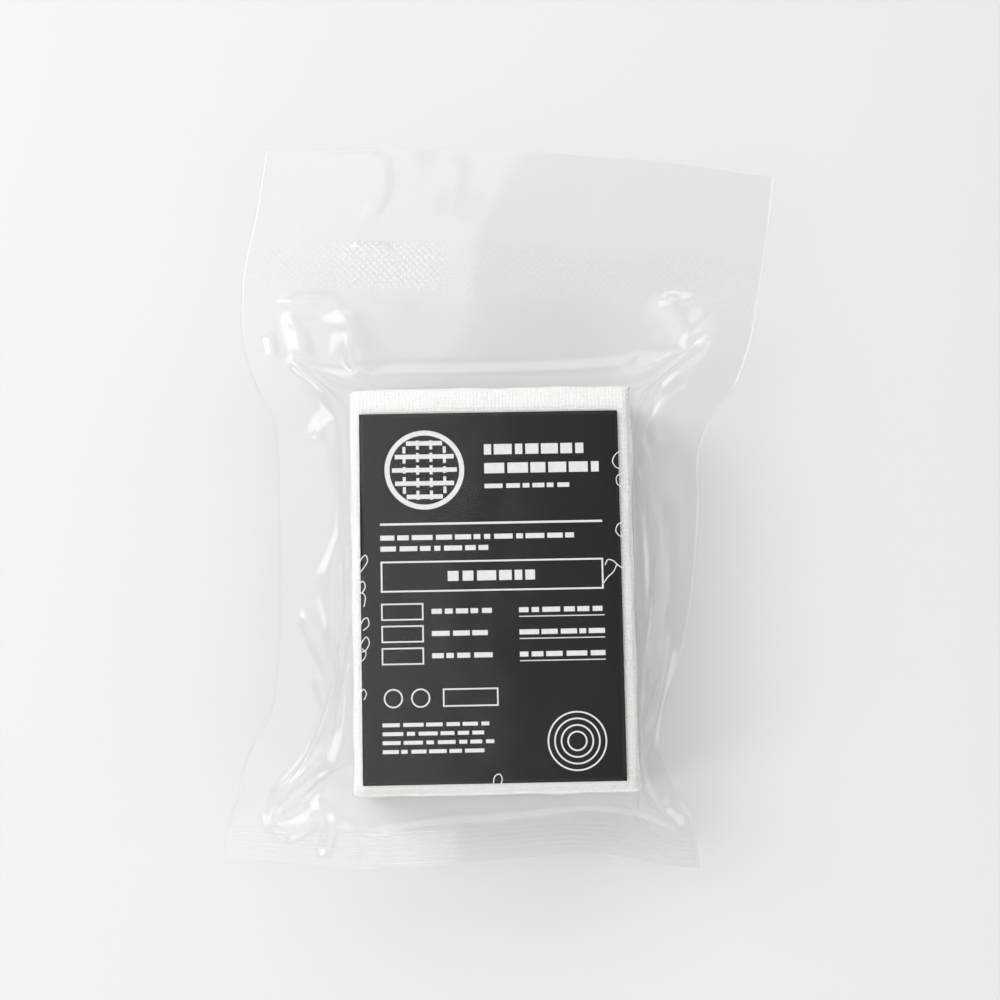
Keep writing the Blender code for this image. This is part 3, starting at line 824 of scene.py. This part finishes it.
def make_card(material):
    columns, rows = 53, 75
    u, v = np.meshgrid(np.linspace(-1, 1, columns), np.linspace(-1, 1, rows))
    x = CARD_MIDDLE[0] + u * CARD_SIZE[0] / 2
    y = CARD_MIDDLE[1] + v * CARD_SIZE[1] / 2
    worn = np.abs(u) ** 40 + np.abs(v) ** 40
    top = card_height(x, y) - 0.06 * np.minimum(worn, 1.5)
    thick = CARD_SIZE[2] - 0.12
    middle = np.stack([x, y, top - thick / 2], -1)
    piece = closed_sheet("printed_card", middle, thick)
    piece.data.materials.append(material)
    return piece


class Print:
    """Collects low closed ink shapes, each raised a little from the card's face."""

    def __init__(self):
        self.points, self.faces = [], []

    def strip(self, left, right, closed=False):
        """A band between two lines with the same number of (x, y) points, the left one first."""
        start, count = len(self.points), len(left)
        for ends in zip(left, right):
            for x, y in ends:
                face = float(card_height(np.float64(x), np.float64(y)))
                self.points.append((x, y, face + INK_RISE))
                self.points.append((x, y, face - INK_ROOT))
        for i in range(count if closed else count - 1):
            a, b = start + 4 * i, start + 4 * ((i + 1) % count)
            self.faces += [(a, a + 2, b + 2, b), (a + 1, b + 1, b + 3, a + 3),
                           (a, b, b + 1, a + 1), (a + 2, a + 3, b + 3, b + 2)]
        if not closed:
            a, b = start, start + 4 * (count - 1)
            self.faces += [(a, a + 1, a + 3, a + 2), (b, b + 2, b + 3, b + 1)]

    def bar(self, x, y, width, height):
        steps = max(2, int(width / 2) + 1)
        xs = np.linspace(x, x + width, steps)
        self.strip([(p, y + height) for p in xs], [(p, y) for p in xs])

    def frame(self, x, y, width, height, line):
        self.bar(x, y, width, line)
        self.bar(x, y + height - line, width, line)
        self.bar(x, y + line, line, height - 2 * line)
        self.bar(x + width - line, y + line, line, height - 2 * line)

    def ring(self, x, y, radius, line, steps=48):
        angles = [math.tau * i / steps for i in range(steps)]
        outer = [(x + radius * math.cos(a), y + radius * math.sin(a)) for a in angles]
        inner = [(x + (radius - line) * math.cos(a), y + (radius - line) * math.sin(a)) for a in angles]
        self.strip(inner, outer, closed=True)

    def greek(self, x, y, width, height, seed):
        """A line of small blocks that stands for a line of print and says nothing."""
        draw = np.random.default_rng(seed)
        at = x
        while at < x + width - 0.8:
            long = min(draw.uniform(1.2, 4.2), x + width - at)
            self.bar(at, y, long, height)
            at += long + draw.uniform(0.45, 0.8)


def make_print(material):
    ink = Print()
    left = CARD_LOW[0] + 4.0
    right = CARD_HIGH[0] - 3.6
    top = CARD_HIGH[1]
    width = right - left
    # Woven disc, the mark of a gauze: crossing bars inside a ring
    disc_x, disc_y, disc = left + 9.0, top - 11.5, 8.0
    ink.ring(disc_x, disc_y, disc, 1.0)
    for k in (-2, -1, 0, 1, 2):
        at = k * 2.7
        half = math.sqrt((disc - 1.5) ** 2 - at ** 2)
        ink.bar(disc_x - half, disc_y + at - 0.45, 2 * half, 0.9)
    for k in (-1.5, -0.5, 0.5, 1.5):
        at = k * 2.7
        half = math.sqrt((disc - 1.5) ** 2 - at ** 2)
        steps = 5
        for j in range(steps):
            low = disc_y - half + 2 * half * j / steps + 0.35
            ink.bar(disc_x + at - 0.3, low, 0.6, 2 * half / steps - 0.7)
    ink.greek(left + 21.0, top - 8.6, 20.0, 2.1, 3)
    ink.greek(left + 21.0, top - 12.4, 23.0, 2.1, 4)
    ink.greek(left + 21.0, top - 15.4, 17.0, 0.9, 5)
    ink.bar(left, top - 22.6, width, 0.45)
    ink.greek(left, top - 25.6, 0.9 * width, 1.0, 6)
    ink.greek(left, top - 27.8, 0.5 * width, 1.0, 7)
    ink.frame(left, top - 36.0, width, 6.2, 0.35)
    ink.greek(left + 0.3 * width, top - 33.9, 0.4 * width, 2.0, 8)
    for row in range(3):
        ink.frame(left, top - 41.6 - 4.4 * row, 8.4, 3.4, 0.3)
        ink.greek(left + 10.0, top - 40.4 - 4.4 * row, 12.0, 1.0, 20 + row)
        ink.greek(right - 17.0, top - 40.4 - 4.4 * row, 17.0, 1.0, 30 + row)
        ink.bar(right - 17.0, top - 41.3 - 4.4 * row, 17.0, 0.2)
    for k, radius in ((0, 1.9), (1, 1.9)):
        ink.ring(left + 2.2 + 5.4 * k, top - 57.0, radius, 0.3, steps=32)
    ink.frame(left + 12.0, top - 58.8, 11.0, 3.6, 0.3)
    for row in range(4):
        ink.greek(left, top - 62.6 - 1.75 * row, 22.0 - 2.0 * (row % 2), 0.75, 40 + row)
    for k in range(4):
        ink.ring(right - 6.0, top - 66.0, 2.0 + 1.3 * k, 0.32, steps=40)
    faces = [np.array(ink.faces)]
    piece = mesh_piece("card_print", np.array(ink.points), faces, smooth=False)
    piece.data.materials.append(material)
    return piece


# Loose threads at the rim of the card

THREADS = [
    # start x, start y, then (dx, dy) steps in mm
    (-26.9, 4.6, ((0.5, 1.6), (0.9, 0.9), (0.4, -1.2), (-0.9, -1.5), (-1.0, -1.2))),
    (-27.0, 1.0, ((0.9, 0.9), (0.5, -1.1), (-0.7, -1.2), (-0.8, 0.2))),
    (-26.8, -3.0, ((-0.4, 1.4), (0.8, 1.2), (0.8, -0.9), (-0.3, -1.9))),
    (-26.7, -7.0, ((0.7, 1.3), (0.8, 0.2), (0.2, -1.4), (-1.1, -1.0))),
    (-26.9, -11.6, ((0.5, 1.3), (0.9, 1.1), (0.6, -1.2), (-0.8, -1.5), (-0.9, -0.2))),
    (-27.1, -16.0, ((0.3, 1.6), (0.9, 1.0), (0.3, 1.1), (-0.8, 0.8))),
    (-26.8, -20.5, ((0.6, 1.0), (0.6, -0.9), (-0.5, -1.2))),
    (25.9, 27.2, ((-0.9, -0.6), (-0.7, -1.3), (0.5, -1.2), (0.9, -0.5))),
    (25.8, 22.6, ((-0.8, -0.7), (0.1, -1.3), (0.8, -0.6))),
    (26.0, 12.9, ((-1.0, -0.6), (-0.4, -1.2), (0.7, -1.0), (0.8, -0.1))),
    (26.1, 3.6, ((-1.0, 0.4), (-1.2, 1.1), (-1.1, 0.2), (-0.5, -1.0))),
    (24.6, 4.3, ((-0.7, -1.4), (-1.1, -1.0), (-0.9, -1.2))),
    (-0.8, -38.4, ((0.2, 1.2), (0.9, 0.6), (0.6, -0.8), (-0.2, -1.1))),
]


def make_threads(material):
    radius = 0.11
    sides = 6
    points, faces = [], []
    for number, (x, y, steps) in enumerate(THREADS):
        knots = [np.array((x, y))]
        for step in steps:
            knots.append(knots[-1] + np.array(step))
        knots = np.array(knots)
        path = refine(knots[:, None], 1, 8 * len(knots))[:, 0] if len(knots) > 2 else knots
        height = np.array([float(card_height(p[0], p[1])) for p in path]) + radius + 0.01
        path = np.column_stack([path, height])
        along = np.gradient(path, axis=0)
        along /= np.linalg.norm(along, axis=1, keepdims=True)
        side = np.cross(along, (0, 0, 1))
        side /= np.linalg.norm(side, axis=1, keepdims=True)
        rise = np.cross(side, along)
        start = len(points)
        for p, s, r in zip(path, side, rise):
            for k in range(sides):
                angle = math.tau * k / sides
                points.append(p + radius * (math.cos(angle) * s + math.sin(angle) * r))
        for i in range(len(path) - 1):
            for k in range(sides):
                a, b = start + i * sides + k, start + i * sides + (k + 1) % sides
                faces.append((a, b, b + sides, a + sides))
        for ring, turn in ((start, -1), (start + (len(path) - 1) * sides, 1)):
            fan = [ring + k for k in range(sides)][::turn]
            faces.append((fan[0], fan[1], fan[2], fan[3]))
            faces.append((fan[0], fan[3], fan[4], fan[5]))
    piece = mesh_piece("loose_threads", np.array(points), [np.array(faces)])
    piece.data.materials.append(material)
    return piece


# The pieces

film = film_material()
gauze = make_gauze(gauze_material())
card = make_card(card_material())
print_piece = make_print(ink_material())
threads = make_threads(gauze.data.materials[0])
webs = {}
shapes = {"front_web": drape(1), "back_web": drape(-1)}
for name, shape in shapes.items():
    webs[name] = closed_sheet(name, shape, FILM)
    webs[name].data.materials.append(film)
pressed_and_highlight = pressed_film_and_highlight_material()
seal_marks = [make_knurl(shapes["front_web"], pressed_and_highlight), make_ribs(shapes["front_web"], pressed_and_highlight)]

for piece in (gauze, card, print_piece, threads, *webs.values(), *seal_marks):
    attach(piece, "root")
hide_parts("gauze_strip")
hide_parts("label_card")
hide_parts("front_film")
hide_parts("back_film")
# Light that bounces off the floor and the gauze passes the clear film unchanged, and so renders sooner
for piece in (*webs.values(), *seal_marks):
    piece.visible_diffuse = False
    piece.visible_glossy = False
for piece in (webs["back_web"], *seal_marks):
    piece.visible_shadow = False


# Floor, light and camera

def make_floor():
    size = 3.0
    mesh = bpy.data.meshes.new("floor")
    corners = [(-size, -size, 0), (size, -size, 0), (size, size, 0), (-size, size, 0)]
    mesh.from_pydata(corners, [], [(0, 1, 2, 3)])
    floor = link("floor", mesh)
    floor.data.materials.append(floor_material())


def make_light(name, place, target, size, power, spread=math.pi):
    data = bpy.data.lights.new(name, "AREA")
    data.shape = "RECTANGLE"
    data.size, data.size_y = size
    data.energy = power
    data.spread = spread
    lamp = bpy.data.objects.new(name, data)
    bpy.context.scene.collection.objects.link(lamp)
    lamp.location = place
    lamp.rotation_euler = (Vector(target) - Vector(place)).to_track_quat("-Z", "Y").to_euler()


def make_camera():
    """Camera of the photograph: almost from above, turned a little about its own axis."""
    tilt, azimuth, roll = math.radians(7.0), math.radians(-8.0), math.radians(-1.126)
    aim = Vector((1.552, 17.74, 20.0)) * MM
    distance = 389.6 * MM
    back = Vector((math.sin(azimuth) * math.sin(tilt), -math.cos(azimuth) * math.sin(tilt), math.cos(tilt)))
    right = Vector((0, 1, 0)).cross(back).normalized()
    up = back.cross(right)
    right_turned = math.cos(roll) * right + math.sin(roll) * up
    up_turned = math.cos(roll) * up - math.sin(roll) * right
    data = bpy.data.cameras.new("camera")
    data.lens = 70
    data.sensor_width = 36
    data.clip_start, data.clip_end = 0.01, 20
    camera = bpy.data.objects.new("camera", data)
    bpy.context.scene.collection.objects.link(camera)
    place = aim + back * distance
    turn = Matrix((right_turned, up_turned, back)).transposed().to_4x4()
    camera.matrix_world = Matrix.Translation(place) @ turn
    bpy.context.scene.camera = camera


make_floor()
make_light("key_softbox", (-0.80, 0.50, 0.65), (0.0, 0.02, 0.0), (0.62, 0.62), 6.7)
make_light("left_softbox", (-0.98, -0.38, 0.55), (0.0, 0.0, 0.0), (0.45, 0.45), 3.4)
make_light("top_softbox", (-0.42, 0.10, 1.10), (-0.42, 0.10, 0.0), (0.84, 1.2), 3.3)
make_light("back_softbox", (0.10, 1.00, 0.50), (0.0, 0.02, 0.0), (1.2, 0.5), 4.8)
make_light("right_softbox", (0.95, -0.20, 0.60), (0.0, 0.0, 0.0), (0.9, 0.7), 3.8)
make_light("front_softbox", (0.05, -0.95, 0.60), (0.0, 0.0, 0.0), (1.2, 0.6), 5.2)
make_camera()
world = bpy.data.worlds.new("studio")
world.use_nodes = True
world.node_tree.nodes["Background"].inputs[0].default_value = (0.93, 0.96, 1.0, 1)
world.node_tree.nodes["Background"].inputs[1].default_value = 0.22
scene = bpy.context.scene
scene.world = world
scene.view_settings.view_transform = "Standard"
scene.view_settings.look = "None"
scene.cycles.max_bounces = 4
scene.cycles.diffuse_bounces = 2
scene.cycles.glossy_bounces = 2
scene.cycles.transparent_max_bounces = 32
